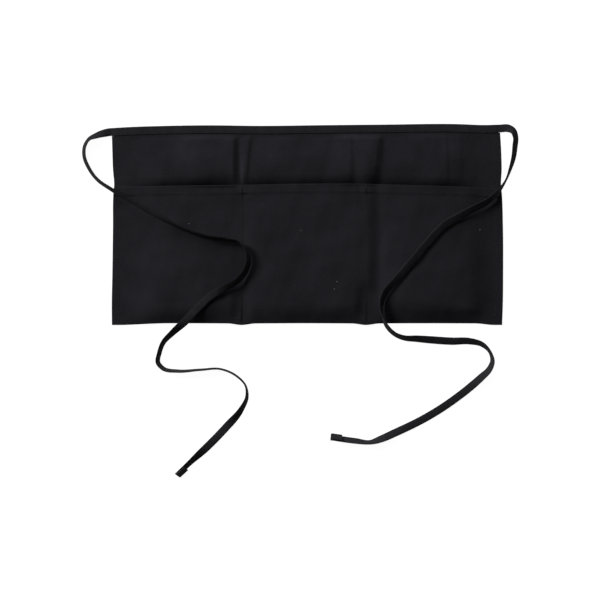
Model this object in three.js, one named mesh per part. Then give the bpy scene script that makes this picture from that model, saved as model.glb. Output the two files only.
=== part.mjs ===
// Waist apron with three pockets, lying on a flat surface with its ties over its front.
// Millimetres, X across the apron, Y up toward its waistband, Z up from the surface it lies on.

import * as THREE from 'three';

// Driving dimensions
const panelWidth = 610;
const panelHeight = 313;
const clothWall = 1.2;
const layerGap = 0.3;
const sideHemWidth = 12.7;
const leftPocketWidth = 203;
const rightPocketWidth = 213;
const pocketDepth = 219;
const pocketRise = 7;
const mouthHemDepth = 10.5;
const bottomDraw = 3;
const seamReach = 22;
const creaseRise = 3.6;
const tapeWidth = 12.3;
const tapeThickness = 1.8;
const tapeEndFold = 15;
const tapeClearance = 0.6;

// Sizes that follow from them
const halfWidth = panelWidth / 2;
const topY = panelHeight / 2;
const bottomY = -topY;
const layerStep = clothWall + layerGap;
const bandHeight = tapeWidth;
const bandThickness = 3 * clothWall + 2 * layerGap;
const bandRadius = bandThickness / 2;
const leftSeamX = leftPocketWidth - halfWidth;
const rightSeamX = halfWidth - rightPocketWidth;
const hemFoldRadius = clothWall + layerGap / 2;
const thickestStack = 4 * clothWall + 3 * layerGap;
const sideInset = thickestStack / 2;
const liftRamp = 0.8 * sideHemWidth;
const hemRamp = 0.6 * mouthHemDepth;
const creaseFade = 0.8 * bandHeight;

// Number of straight steps in each round fold and in each tape's chamfered corner
const foldSteps = 4;
const cornerShare = 0.3;

// How far each side edge is drawn in, as shares of the side hem's width
const sideEdges = [
  { up: 0.00, left: 0.04, right: 0.15 },
  { up: 0.10, left: 0.02, right: 0.06 },
  { up: 0.25, left: 0.09, right: 0.02 },
  { up: 0.50, left: 0.17, right: 0.05 },
  { up: 0.64, left: 0.20, right: 0.16 },
  { up: 0.70, left: 0.31, right: 0.28 },
  { up: 0.77, left: 0.17, right: 0.20 },
  { up: 0.86, left: 0.09, right: 0.25 },
  { up: 1.00, left: 0.00, right: 0.46 },
];

// How far the top edge drops from a straight line, as shares of the waistband's height
const topEdge = [
  { across: -1.00, drop: 0.51 },
  { across: -0.90, drop: 0.37 },
  { across: -0.75, drop: 0.25 },
  { across: -0.52, drop: 0.16 },
  { across: -0.22, drop: 0.23 },
  { across: 0.09, drop: 0.14 },
  { across: 0.40, drop: 0.07 },
  { across: 0.78, drop: 0.00 },
  { across: 0.93, drop: 0.12 },
  { across: 1.00, drop: 0.07 },
];

// How far the pocket mouths drop from a straight line, as shares of the mouth hem's depth
const mouthEdge = [
  { across: -1.00, drop: 0.42 },
  { across: -0.65, drop: 0.28 },
  { across: -0.33, drop: 0.15 },
  { across: -0.04, drop: 0.00 },
  { across: 0.30, drop: 0.00 },
  { across: 0.55, drop: 0.22 },
  { across: 0.81, drop: 0.45 },
  { across: 1.00, drop: 0.74 },
];

// Height of a pocket's pillow up its depth, as shares of pocketRise
const pillow = [
  { up: 0.000, rise: 0.12 },
  { up: 0.020, rise: 0.42 },
  { up: 0.045, rise: 0.82 },
  { up: 0.080, rise: 1.00 },
  { up: 0.200, rise: 0.96 },
  { up: 0.500, rise: 0.80 },
  { up: 0.850, rise: 0.74 },
  { up: 1.000, rise: 0.82 },
];

// Loose folds that fan from the top of each pocket seam up to the waistband
// Spreads and leans are shares of the waistband's height, the rise a share of creaseRise
const creases = [
  { seamX: leftSeamX, lean: 0.2, topSpread: 1.0, footSpread: 0.3, rise: 0.8 },
  { seamX: rightSeamX, lean: 0.3, topSpread: 2.1, footSpread: 0.9, rise: 1.0 },
];

// Tie routes as laid down by hand, from the waistband's end: across, along, roll in degrees
const leftTieRoute = [
  [-11, -2, 25], [-23, -6, 52], [-34, -11, 71], [-41, -22, 73], [-42, -38, 74], [-35, -56, 76],
  [-22, -74, 79], [-1, -89, 78], [27, -105, 70], [58, -123, 66], [89, -140, 76], [120, -154, 87],
  [151, -164, 95], [182, -169, 103], [201, -173, 109], [211, -185, 112], [214, -201, 113],
  [209, -217, 116], [196, -232, 124], [175, -244, 142], [156, -255, 162], [135, -274, 180],
  [114, -296, 152], [95, -313, 122], [81, -328, 108], [75, -344, 104], [73, -359, 104],
  [81, -368, 102], [104, -372, 98], [138, -370, 94], [171, -369, 92], [194, -379, 92],
  [209, -395, 92], [211, -412, 99], [202, -432, 118], [179, -459, 164], [150, -489, 158],
  [123, -514, 118], [104, -532, 112],
];
const rightTieRoute = [
  [13, 0, -20], [20, -4, -42], [24, -14, -56], [23, -28, -58], [21, -44, -64], [16, -62, -76],
  [9, -80, -84], [-3, -98, -74], [-19, -113, -58], [-42, -125, -45], [-64, -137, -38],
  [-85, -149, -34], [-103, -166, -32], [-122, -188, -32], [-143, -213, -34], [-164, -237, -38],
  [-179, -255, -50], [-185, -272, -68], [-184, -289, -86], [-176, -308, -102], [-162, -321, -107],
  [-148, -326, -116], [-131, -327, -130], [-106, -329, -146], [-75, -331, -146], [-47, -331, -130],
  [-28, -336, -110], [-16, -348, -96], [-12, -362, -102], [-17, -375, -115], [-29, -387, -134],
  [-53, -408, -160], [-87, -433, -176], [-124, -455, -172], [-162, -473, -152], [-185, -483, -130],
  [-201, -488, -104], [-225, -486, -114], [-261, -481, -114],
];

const blackTwill = new THREE.MeshStandardMaterial({ color: 0x1f1e22, roughness: 0.9, metalness: 0 });
const blackTape = new THREE.MeshStandardMaterial({ color: 0x242327, roughness: 0.85, metalness: 0 });

const apron = new THREE.Group();
apron.name = 'waist_apron';

// Smooth step from 0 to 1
function ease(value) {
  const t = THREE.MathUtils.clamp(value, 0, 1);
  return t * t * (3 - 2 * t);
}

// Straight interpolation in a table of rows
function lookUp(rows, key, column, value) {
  const last = rows.length - 1;
  if (value <= rows[0][key]) return rows[0][column];
  if (value >= rows[last][key]) return rows[last][column];
  const next = rows.findIndex((row) => row[key] > value);
  const low = rows[next - 1];
  const high = rows[next];
  const share = (value - low[key]) / (high[key] - low[key]);
  return low[column] + share * (high[column] - low[column]);
}

// Outline of the apron
function leftEdgeX(y) {
  return -halfWidth + sideHemWidth * lookUp(sideEdges, 'up', 'left', (y - bottomY) / panelHeight);
}

function rightEdgeX(y) {
  return halfWidth - sideHemWidth * lookUp(sideEdges, 'up', 'right', (y - bottomY) / panelHeight);
}

function topEdgeY(x) {
  return topY - bandHeight * lookUp(topEdge, 'across', 'drop', x / halfWidth);
}

function bandBottomY(x) {
  return topEdgeY(x) - bandHeight;
}

function mouthY(x) {
  return bottomY + pocketDepth - mouthHemDepth * lookUp(mouthEdge, 'across', 'drop', x / halfWidth);
}

function bottomEdgeY(x) {
  return bottomY + bottomDraw * fullness(x);
}

// A station named by its x on a straight-sided apron follows the side edges as they draw in
function drawnX(x, y) {
  const share = (x + halfWidth) / panelWidth;
  return leftEdgeX(y) + share * (rightEdgeX(y) - leftEdgeX(y));
}

// 0 where the pocket panel is sewn down, up to 1 in the middle of a pocket
function fullness(x) {
  const pins = [sideHemWidth - halfWidth, leftSeamX, rightSeamX, halfWidth - sideHemWidth];
  const next = pins.findIndex((pin) => pin > x);
  if (next < 1) return 0;
  const width = pins[next] - pins[next - 1];
  const across = (x - pins[next - 1]) / width;
  const near = width * Math.min(across, 1 - across);
  return 0.75 * ease(near / seamReach) + 0.25 * (1 - (2 * across - 1) ** 2);
}

// Underside of the body panel: it rides over the turned side hems and up into the waistband
function bodyUnderZ(x, y) {
  const nearSide = halfWidth - Math.abs(x);
  const side = 1 - ease((nearSide - sideHemWidth - layerStep) / liftRamp);
  const band = ease((y - bandBottomY(x) + layerStep + liftRamp) / liftRamp);
  return layerStep * (1 - (1 - side) * (1 - band)) + creaseZ(x, y);
}

function creaseZ(x, y) {
  const foot = mouthY(x) + layerStep;
  const head = bandBottomY(x) - layerStep;
  const up = (y - foot) / (head - foot);
  if (up <= 0 || up >= 1) return 0;
  const ends = ease((y - foot) / creaseFade) * ease((head - y) / creaseFade);
  let height = 0;
  for (const crease of creases) {
    const middle = crease.seamX + up * crease.lean * bandHeight;
    const spread = bandHeight * (crease.footSpread + up * (crease.topSpread - crease.footSpread));
    const off = Math.min(1, Math.abs(x - middle) / spread);
    height += creaseRise * crease.rise * ends * (1 - ease(off));
  }
  return height;
}

function bodyTopZ(x, y) {
  return bodyUnderZ(x, y) + clothWall;
}

// Underside of the pocket layers: sewn down flat at the seams, pillowed between them
function pocketSpaceZ(x, y) {
  const up = (y - bottomEdgeY(x)) / (mouthY(x) - bottomEdgeY(x));
  return bodyTopZ(x, y) + layerGap + pocketRise * fullness(x) * lookUp(pillow, 'up', 'rise', up);
}

// The pocket panel lies one layer higher over its own turned mouth hem
function pocketUnderZ(x, y) {
  const overHem = ease((y - mouthY(x) + mouthHemDepth + layerStep + hemRamp) / hemRamp);
  return pocketSpaceZ(x, y) + layerStep * overHem;
}

function pocketTopZ(x, y) {
  return pocketUnderZ(x, y) + clothWall;
}

// Top of the apron at a place, and 0 beside it
function apronTopZ(x, y) {
  if (x < leftEdgeX(y) || x > rightEdgeX(y) || y < bottomEdgeY(x) || y > topEdgeY(x)) return 0;
  if (y > bandBottomY(x)) return bandThickness;
  return y < mouthY(x) ? pocketTopZ(x, y) : bodyTopZ(x, y);
}

// Stations across the apron, closer where a seam, a hem or a fold bends the cloth
function acrossStations() {
  const end = halfWidth - sideInset - layerGap;
  const stations = [-end, end];
  for (const side of [-1, 1]) {
    const hemX = side * (halfWidth - sideHemWidth - layerStep);
    stations.push(hemX, hemX - side * liftRamp / 2, hemX - side * liftRamp);
    for (const share of [0.75, 1, 1.5]) {
      stations.push(side * (halfWidth - sideHemWidth - share * seamReach));
    }
  }
  for (const seam of [leftSeamX, rightSeamX]) {
    for (const share of [-1.5, -1, -0.7, -0.4, 0, 0.4, 0.7, 1, 1.5]) {
      stations.push(seam + share * seamReach);
    }
  }
  stations.sort((a, b) => a - b);
  const longest = 2.2 * seamReach;
  const filled = [stations[0]];
  for (let i = 1; i < stations.length; i += 1) {
    const span = stations[i] - stations[i - 1];
    const parts = Math.ceil(span / longest);
    for (let k = 1; k <= parts; k += 1) filled.push(stations[i - 1] + span * k / parts);
  }
  return filled;
}

const stations = acrossStations();

// Closed solid through rings of equally many points
// Each ring runs out along one face of a strip and back along its other face, so an end is filled
// by joining each point with the one opposite it. Both faces are split along the same diagonals,
// so that a thin strip keeps its thickness where it twists
function loft(name, rings, material) {
  const count = rings[0].length;
  const positions = rings.flat(2);
  const index = [];
  for (let i = 0; i + 1 < rings.length; i += 1) {
    for (let k = 0; k < count; k += 1) {
      const a = i * count + k;
      const b = i * count + (k + 1) % count;
      if (k < count / 2) index.push(a, b, b + count, a, b + count, a + count);
      else index.push(a, b, a + count, b, b + count, a + count);
    }
  }
  const last = (rings.length - 1) * count;
  for (let k = 0; k + 1 < count / 2; k += 1) {
    const back = count - 1 - k;
    index.push(k + 1, k, back, k + 1, back, back - 1);
    index.push(last + k, last + k + 1, last + back - 1, last + k, last + back - 1, last + back);
  }
  const geometry = new THREE.BufferGeometry();
  geometry.setAttribute('position', new THREE.Float32BufferAttribute(positions, 3));
  geometry.setIndex(signedVolume(positions, index) > 0 ? index : index.reverse());
  geometry.computeVertexNormals();
  const mesh = new THREE.Mesh(geometry, material);
  mesh.name = name;
  apron.add(mesh);
}

function signedVolume(positions, index) {
  const corner = (i) => new THREE.Vector3(...positions.slice(3 * index[i], 3 * index[i] + 3));
  let volume = 0;
  for (let i = 0; i < index.length; i += 3) {
    volume += corner(i).dot(corner(i + 1).cross(corner(i + 2)));
  }
  return volume;
}

// Points round a half circle that bulges toward -1 or +1 along the first axis
function halfTurn(middle, height, radius, side) {
  const points = [];
  for (let i = 0; i <= foldSteps; i += 1) {
    const angle = Math.PI * (0.5 - i / foldSteps);
    points.push([middle + side * radius * Math.cos(angle), height + radius * Math.sin(angle)]);
  }
  return points;
}

function ringAt(x, profile) {
  return profile.map(([y, z]) => [drawnX(x, y), y, z]);
}

// Places along the pocket panel, from its mouth down to its bottom fold
function pocketRows(x) {
  const mouth = mouthY(x);
  const bottom = foldStartY(x);
  const hemEnd = mouth - mouthHemDepth - layerStep;
  const rows = [mouth - hemFoldRadius - layerGap, mouth - mouthHemDepth / 2, hemEnd, hemEnd - hemRamp];
  for (const up of [0.8, 0.65, 0.5, 0.35, 0.2, 0.12, 0.08, 0.06, 0.045, 0.03, 0.02]) {
    rows.push(bottomEdgeY(x) + up * (mouth - bottomEdgeY(x)));
  }
  rows.push(bottom);
  return rows;
}

// The bottom fold starts where its half circle just reaches the bottom edge
function foldStartY(x) {
  const edge = bottomEdgeY(x);
  return edge + (pocketTopZ(x, edge) - bodyUnderZ(x, edge)) / 2;
}

// Places along the body panel above the pocket mouths
function upperRows(x) {
  const foot = mouthY(x) + layerStep;
  const head = bandBottomY(x) - layerStep;
  const rows = [0, 0.2, 0.4, 0.6, 0.8].map((share) => foot + share * (head - liftRamp - foot));
  return [...rows, head - liftRamp, head - liftRamp / 2, head];
}

// Body panel, from the bottom fold up into the waistband
function addBodyPanel() {
  const rings = stations.map((x) => {
    const foot = foldStartY(x) + layerGap;
    const rows = [foot, (foot + mouthY(x)) / 2, ...upperRows(x), topEdgeY(x) - bandRadius];
    const under = rows.map((y) => [y, bodyUnderZ(x, y)]);
    const over = rows.map((y) => [y, bodyTopZ(x, y)]).reverse();
    return ringAt(x, [...under, ...over]);
  });
  loft('body_panel', rings, blackTwill);
}

// Pocket panel, with the bottom fold that turns under it to meet the body panel
function addPocketPanel() {
  const rings = stations.map((x) => {
    const rows = pocketRows(x);
    const start = rows.at(-1);
    const low = bodyUnderZ(x, start);
    const high = pocketTopZ(x, start);
    const radius = (high - low) / 2;
    const outerFold = halfTurn(start, low + radius, radius, -1).slice(1);
    const innerFold = halfTurn(start, low + radius, radius - clothWall, -1).reverse();
    const over = rows.map((y) => [y, pocketTopZ(x, y)]);
    const under = rows.slice(0, -1).map((y) => [y, pocketUnderZ(x, y)]).reverse();
    return ringAt(x, [...over, ...outerFold, ...innerFold, ...under]);
  });
  loft('pocket_panel', rings, blackTwill);
}

// Mouth hem: the pocket panel's top edge turned to the inside
function addPocketHem() {
  const rings = stations.map((x) => {
    const start = mouthY(x) - hemFoldRadius;
    const middle = mouthY(x) - mouthHemDepth / 2;
    const end = mouthY(x) - mouthHemDepth;
    const height = pocketTopZ(x, start) - hemFoldRadius;
    const outerFold = halfTurn(start, height, hemFoldRadius, 1);
    const innerFold = halfTurn(start, height, hemFoldRadius - clothWall, 1).reverse();
    const leafUnder = [middle, end].map((y) => [y, pocketSpaceZ(x, y)]);
    const leafTop = [end, middle].map((y) => [y, pocketSpaceZ(x, y) + clothWall]);
    return ringAt(x, [...outerFold, ...leafUnder, ...leafTop, ...innerFold]);
  });
  loft('pocket_hem', rings, blackTwill);
}

// Side hem: the stacked layers' edge turned round to the back
function addSideHem(name, side, edgeX) {
  const stationX = side * (halfWidth - sideInset - layerGap);
  const mouth = mouthY(stationX);
  const upper = upperRows(stationX).reverse();
  const bandFoot = Math.min(bandBottomY(side * halfWidth), bandBottomY(side * (halfWidth - sideHemWidth)));
  const rows = [bandFoot - layerGap, ...upper, mouth, ...pocketRows(stationX)];
  const rings = rows.map((y) => {
    const height = y > mouth ? bodyTopZ(stationX, y) : pocketTopZ(stationX, y);
    const radius = height / 2;
    const inner = edgeX(y) - side * sideInset;
    const start = edgeX(y) - side * radius;
    const outerFold = halfTurn(start, radius, radius, side);
    const innerFold = halfTurn(start, radius, radius - clothWall, side).reverse();
    const leafEnd = edgeX(y) - side * sideHemWidth;
    const profile = [[inner, height], ...outerFold, [leafEnd, 0], [leafEnd, clothWall]];
    profile.push(...innerFold, [inner, height - clothWall]);
    return profile.map(([x, z]) => [x, y, z]);
  });
  loft(name, rings, blackTwill);
}

// Waistband: tape folded over the body panel's top edge, front leaf, fold and back leaf
function addWaistband() {
  const ends = [-halfWidth, ...stations, halfWidth];
  const rings = ends.map((x) => {
    const start = topEdgeY(x) - bandRadius;
    const foot = bandBottomY(x);
    const outerFold = halfTurn(start, bandRadius, bandRadius, 1);
    const innerFold = halfTurn(start, bandRadius, bandRadius - clothWall, 1).reverse();
    const profile = [[foot, bandThickness], ...outerFold, [foot, 0], [foot, clothWall]];
    profile.push(...innerFold, [foot, bandThickness - clothWall]);
    const endX = drawnX(x, topEdgeY(x));
    return profile.map(([y, z]) => [endX, y, z]);
  });
  loft('waistband', rings, blackTape);
}

// Section of the tape as offsets along its width and its thickness, with chamfered corners
function tapeSection() {
  const w = tapeWidth / 2;
  const t = tapeThickness / 2;
  const c = cornerShare * tapeThickness;
  return [[w - c, t], [c - w, t], [-w, t - c], [-w, c - t], [c - w, -t], [w - c, -t], [w, c - t], [w, t - c]];
}

// Stations of a tie: centre, direction and roll, with each centre raised clear of what it lies on
function tieStations(rootX, rootY, side, route) {
  const plan = [{ x: rootX, y: rootY, roll: 0 }];
  for (const [across, along, degrees] of route) {
    plan.push({ x: rootX + across, y: rootY + along, roll: THREE.MathUtils.degToRad(degrees) });
  }
  // The last two stations share a direction, so the stretch that is folded back is straight
  const straight = plan.length - 2;
  plan.forEach((point, i) => {
    const before = plan[i === straight ? i : Math.max(i - 1, 0)];
    const after = plan[Math.min(i + 1, plan.length - 1)];
    const length = Math.hypot(after.x - before.x, after.y - before.y);
    point.direction = i === 0 ? [side, 0] : [(after.x - before.x) / length, (after.y - before.y) / length];
    const reachUp = tapeWidth / 2 * Math.abs(Math.sin(point.roll));
    point.halfHeight = reachUp + tapeThickness / 2 * Math.abs(Math.cos(point.roll));
    point.z = Math.max(groundNear(before, point), groundNear(point, after)) + point.halfHeight;
  });
  plan[0].z = bandRadius;
  return plan;
}

// Highest ground under the tape between two stations, with its clearance, and 0 on the bare surface
function groundNear(from, to) {
  const samples = 8;
  let highest = 0;
  for (let i = 0; i <= samples; i += 1) {
    const x = from.x + (to.x - from.x) * i / samples;
    const y = from.y + (to.y - from.y) * i / samples;
    for (const dx of [-0.5, 0, 0.5]) {
      for (const dy of [-0.5, 0, 0.5]) {
        const top = apronTopZ(x + dx * tapeWidth, y + dy * tapeWidth);
        if (top > 0) highest = Math.max(highest, top + tapeClearance);
      }
    }
  }
  return highest;
}

function addTie(name, endName, rootX, side, route) {
  const rootY = topEdgeY(side * halfWidth) - bandHeight / 2;
  const plan = tieStations(rootX + side * layerGap, rootY, side, route);
  const rings = plan.map((point) => {
    const widthway = [-point.direction[1] * Math.cos(point.roll), point.direction[0] * Math.cos(point.roll)];
    const faceway = [point.direction[1] * Math.sin(point.roll), -point.direction[0] * Math.sin(point.roll)];
    return tapeSection().map(([w, t]) => [
      point.x + w * widthway[0] + t * faceway[0],
      point.y + w * widthway[1] + t * faceway[1],
      point.z + w * Math.sin(point.roll) + t * Math.cos(point.roll),
    ]);
  });
  loft(name, rings, blackTape);
  addTieEnd(endName, plan);
}

// The tie's end is folded back on itself and sewn flat
function addTieEnd(name, plan) {
  const last = plan.at(-1);
  const near = plan.at(-2);
  const length = Math.hypot(last.x - near.x, last.y - near.y, last.z - near.z);
  const along = new THREE.Vector3(last.x - near.x, last.y - near.y, last.z - near.z).divideScalar(length);
  const [dx, dy] = last.direction;
  const widthway = new THREE.Vector3(
    -dy * Math.cos(last.roll), dx * Math.cos(last.roll), Math.sin(last.roll));
  const faceway = new THREE.Vector3().crossVectors(widthway, along).normalize();
  if (faceway.z > 0) faceway.negate();
  const leafWall = tapeThickness;
  const turn = (tapeThickness + layerGap + leafWall) / 2;
  const low = -tapeThickness / 2;
  const outerFold = halfTurn(layerGap, low + turn, turn, 1);
  const innerFold = halfTurn(layerGap, low + turn, turn - leafWall, 1).reverse();
  const leafLow = low + 2 * turn - leafWall;
  const profile = [[-tapeEndFold, low + 2 * turn], ...outerFold, ...innerFold, [-tapeEndFold, leafLow]];
  const centre = new THREE.Vector3(last.x, last.y, last.z);
  const rings = [-1, 1].map((end) => profile.map(([u, v]) => centre.clone()
    .addScaledVector(along, u)
    .addScaledVector(faceway, -v)
    .addScaledVector(widthway, end * tapeWidth / 2)
    .toArray()));
  loft(name, rings, blackTape);
}

addBodyPanel();
addPocketPanel();
addPocketHem();
addSideHem('side_hem_left', -1, leftEdgeX);
addSideHem('side_hem_right', 1, rightEdgeX);
addWaistband();
addTie('tie_left', 'tie_end_left', drawnX(-halfWidth, topEdgeY(-halfWidth)), -1, leftTieRoute);
addTie('tie_right', 'tie_end_right', drawnX(halfWidth, topEdgeY(halfWidth)), 1, rightTieRoute);

export default apron;
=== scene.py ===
import math

import bpy
import numpy as np
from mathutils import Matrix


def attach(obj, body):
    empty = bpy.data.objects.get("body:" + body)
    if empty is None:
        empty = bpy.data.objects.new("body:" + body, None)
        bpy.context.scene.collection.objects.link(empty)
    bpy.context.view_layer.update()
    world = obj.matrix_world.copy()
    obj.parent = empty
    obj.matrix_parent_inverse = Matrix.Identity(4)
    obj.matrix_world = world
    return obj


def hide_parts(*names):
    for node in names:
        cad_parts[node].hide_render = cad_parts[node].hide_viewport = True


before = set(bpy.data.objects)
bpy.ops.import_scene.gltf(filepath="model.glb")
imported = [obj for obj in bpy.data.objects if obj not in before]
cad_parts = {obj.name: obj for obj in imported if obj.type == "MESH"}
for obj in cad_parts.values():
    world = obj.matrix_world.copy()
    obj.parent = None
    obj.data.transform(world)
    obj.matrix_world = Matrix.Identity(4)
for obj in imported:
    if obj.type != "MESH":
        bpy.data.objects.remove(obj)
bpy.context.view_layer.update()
print("frame loaded:", sorted(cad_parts))

# Metres throughout, as in the frame: X across the apron, Y up to its waistband, Z off the table

scene = bpy.context.scene
scene.view_settings.view_transform = "Standard"

cameraSet = {"x": -0.0116, "y": -0.1175, "height": 2.207, "lens": 85, "sensor": 36}

cameraData = bpy.data.cameras.new("camera")
cameraData.lens = cameraSet["lens"]
cameraData.sensor_width = cameraSet["sensor"]
cameraData.clip_end = 20
camera = bpy.data.objects.new("camera", cameraData)
camera.location = (cameraSet["x"], cameraSet["y"], cameraSet["height"])
scene.collection.objects.link(camera)
scene.camera = camera


# Shapes that everything below uses

def ease(value):
    # smooth step from 0 to 1
    t = np.clip(value, 0, 1)
    return t * t * (3 - 2 * t)


def bell(distance, reach):
    # 1 in the middle, easing to 0 at reach on either side
    return 1 - ease(np.abs(distance) / reach)


def throughPoints(at, knots, values):
    # smooth curve through a table's points: cubic pieces whose slopes come from the points beside them
    knots, values = np.asarray(knots, float), np.asarray(values, float)
    slopes = np.gradient(values, knots, axis=0)
    low = np.clip(np.searchsorted(knots, at) - 1, 0, len(knots) - 2)
    gap = knots[low + 1] - knots[low]
    t = np.clip((at - knots[low]) / gap, 0, 1)
    if values.ndim > 1:
        t, gap = t[..., None], gap[..., None]
    start = values[low] * (1 + 2 * t) * (1 - t) ** 2 + slopes[low] * gap * t * (1 - t) ** 2
    return start + values[low + 1] * t ** 2 * (3 - 2 * t) + slopes[low + 1] * gap * t ** 2 * (t - 1)


def creased(value):
    # rises from a sharp foot and rounds off at the top
    return 1 - (1 - np.clip(value, 0, 1)) ** 2


def unit(vectors):
    return vectors / np.linalg.norm(vectors, axis=-1, keepdims=True)


def halfTurn(middle, height, radius, side, steps=10):
    # half circle from above to below a centre, bulging toward -1 or +1 along the first axis
    angle = np.linspace(math.pi / 2, -math.pi / 2, steps + 1)
    first = middle[..., None] + side * radius[..., None] * np.cos(angle)
    return first, height[..., None] + radius[..., None] * np.sin(angle)


def thickened(first, second, wall):
    # closed outline of a wall whose middle line is given: out along one face, back along the other
    along = unit(np.stack([np.gradient(first, axis=-1), np.gradient(second, axis=-1)], -1))
    offset = wall / 2 * np.stack([-along[..., 1], along[..., 0]], -1)
    middle = np.stack([first, second], -1)
    return np.concatenate([middle + offset, (middle - offset)[..., ::-1, :]], -2)


def ringFaces(rows, ring):
    # four-sided faces that join each row of points, which runs round a section, to the next one
    row, point = np.meshgrid(np.arange(rows - 1), np.arange(ring), indexing="ij")
    after = (point + 1) % ring
    return np.stack([row * ring + point, row * ring + after,
                     (row + 1) * ring + after, (row + 1) * ring + point], -1).reshape(-1, 4)


def facingOut(faces, places):
    # the faces, turned round if they face inward
    corners = places[faces]
    cross = np.cross(corners[:, 1] - corners[:, 0], corners[:, 3] - corners[:, 0])
    outward = np.einsum("ij,ij->", corners.mean(1) - places.mean(0), cross)
    return faces[:, ::-1] if outward < 0 else faces


def stripMesh(name, grid, material, keepAngle=55):
    # closed solid from rows of points: each row runs round a flat section and the rows follow a path
    # the two end rows are filled by joining each point with the one that lies opposite it
    rows, ring = grid.shape[:2]
    sides = ringFaces(rows, ring)
    near = np.arange(ring // 2 - 1)
    cap = np.stack([near + 1, near, ring - 1 - near, ring - 2 - near], -1)
    places = grid.reshape(-1, 3)
    faces = facingOut(np.concatenate([sides, cap, cap[:, ::-1] + (rows - 1) * ring]), places)
    closed = np.concatenate([grid, grid[:, :1]], 1)
    around = np.cumsum(np.linalg.norm(np.diff(closed, axis=1), axis=-1).mean(0))
    along = np.cumsum(np.linalg.norm(np.diff(grid, axis=0), axis=-1).max(1))
    around, along = np.insert(around, 0, 0), np.insert(along, 0, 0)
    rowOf, pointOf = faces // ring, faces % ring
    wraps = (pointOf.max(1) - pointOf.min(1) == ring - 1)[:, None] & (pointOf == 0)
    wraps[len(sides):] = False
    flatPlaces = np.stack([along[rowOf], around[np.where(wraps, ring, pointOf)]], -1)
    return finishMesh(name, places, faces, flatPlaces, material, keepAngle)


def finishMesh(name, places, faces, flatPlaces, material, keepAngle=55):
    # faces all have the same number of corners; flatPlaces are the pattern's places in metres
    mesh = bpy.data.meshes.new(name)
    mesh.vertices.add(len(places))
    mesh.vertices.foreach_set("co", places.astype(np.float32).ravel())
    mesh.loops.add(faces.size)
    mesh.loops.foreach_set("vertex_index", faces.astype(np.int32).ravel())
    mesh.polygons.add(len(faces))
    mesh.polygons.foreach_set("loop_start", np.arange(0, faces.size, faces.shape[1], dtype=np.int32))
    layer = mesh.uv_layers.new(name="flat")
    layer.data.foreach_set("uv", flatPlaces.astype(np.float32).ravel())
    mesh.polygons.foreach_set("use_smooth", np.ones(len(faces), bool))
    mesh.update(calc_edges=True)
    mesh.set_sharp_from_angle(angle=math.radians(keepAngle))
    mesh.materials.append(material)
    piece = bpy.data.objects.new(name, mesh)
    scene.collection.objects.link(piece)
    return piece


# Materials

def addNode(tree, kind, inputs=None, **settings):
    # a node with its settings, whose inputs are values or other nodes' outputs
    node = tree.nodes.new(kind)
    for name, value in settings.items():
        setattr(node, name, value)
    for name, value in (inputs or {}).items():
        if isinstance(value, bpy.types.NodeSocket):
            tree.links.new(value, node.inputs[name])
        else:
            node.inputs[name].default_value = value
    return node


def newGroup(name, inputs, outputs):
    # shader node group with named sockets
    group = bpy.data.node_groups.new(name, "ShaderNodeTree")
    kinds = {"vector": "NodeSocketVector", "number": "NodeSocketFloat", "colour": "NodeSocketColor"}
    for label, kind in inputs.items():
        group.interface.new_socket(name=label, in_out="INPUT", socket_type=kinds[kind])
    for label, kind in outputs.items():
        group.interface.new_socket(name=label, in_out="OUTPUT", socket_type=kinds[kind])
    return group, addNode(group, "NodeGroupInput"), addNode(group, "NodeGroupOutput")


# How deep the threads' own wave is beside the ribs' wave
threadShare = 0.35


def makeWovenRibs():
    # diagonal ribs of woven thread: a slanted wave, broken up by a finer wave across it
    group, given, result = newGroup(
        "wovenRibs", {"Place": "vector", "Ribs": "number", "Threads": "number"}, {"Height": "number"})
    ribs = addNode(group, "ShaderNodeTexWave", {
        "Vector": given.outputs["Place"], "Scale": given.outputs["Ribs"],
        "Distortion": 0.6, "Detail": 1.0, "Detail Scale": 0.4}, bands_direction="DIAGONAL")
    threads = addNode(group, "ShaderNodeTexWave", {
        "Vector": given.outputs["Place"], "Scale": given.outputs["Threads"],
        "Distortion": 0.8, "Detail": 1.0, "Detail Scale": 0.4}, bands_direction="Y")
    mixed = addNode(group, "ShaderNodeMath", operation="MULTIPLY_ADD")
    group.links.new(threads.outputs["Fac"], mixed.inputs[0])
    mixed.inputs[1].default_value = threadShare
    group.links.new(ribs.outputs["Fac"], mixed.inputs[2])
    group.links.new(mixed.outputs[0], result.inputs["Height"])
    return group


def makeClothTone():
    # soft cloudy variation between a dark and a light tone, with worn roughness to match
    group, given, result = newGroup(
        "clothTone",
        {"Place": "vector", "Cloud size": "number", "Dark": "colour", "Light": "colour"},
        {"Color": "colour", "Roughness": "number"})
    clouds = addNode(group, "ShaderNodeTexNoise", {
        "Vector": given.outputs["Place"], "Scale": given.outputs["Cloud size"],
        "Detail": 4.0, "Roughness": 0.6})
    spread = addNode(group, "ShaderNodeMapRange", {
        "Value": clouds.outputs["Fac"], "From Min": 0.3, "From Max": 0.7, "To Min": 0.0, "To Max": 1.0})
    tone = addNode(group, "ShaderNodeMix", data_type="RGBA")
    group.links.new(spread.outputs["Result"], tone.inputs[0])
    group.links.new(given.outputs["Dark"], tone.inputs[6])
    group.links.new(given.outputs["Light"], tone.inputs[7])
    worn = addNode(group, "ShaderNodeMapRange", {
        "Value": clouds.outputs["Fac"], "From Min": 0.3, "From Max": 0.7, "To Min": 0.92, "To Max": 0.8})
    group.links.new(tone.outputs[2], result.inputs["Color"])
    group.links.new(worn.outputs["Result"], result.inputs["Roughness"])
    return group


wovenRibs = makeWovenRibs()
clothTone = makeClothTone()

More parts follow.
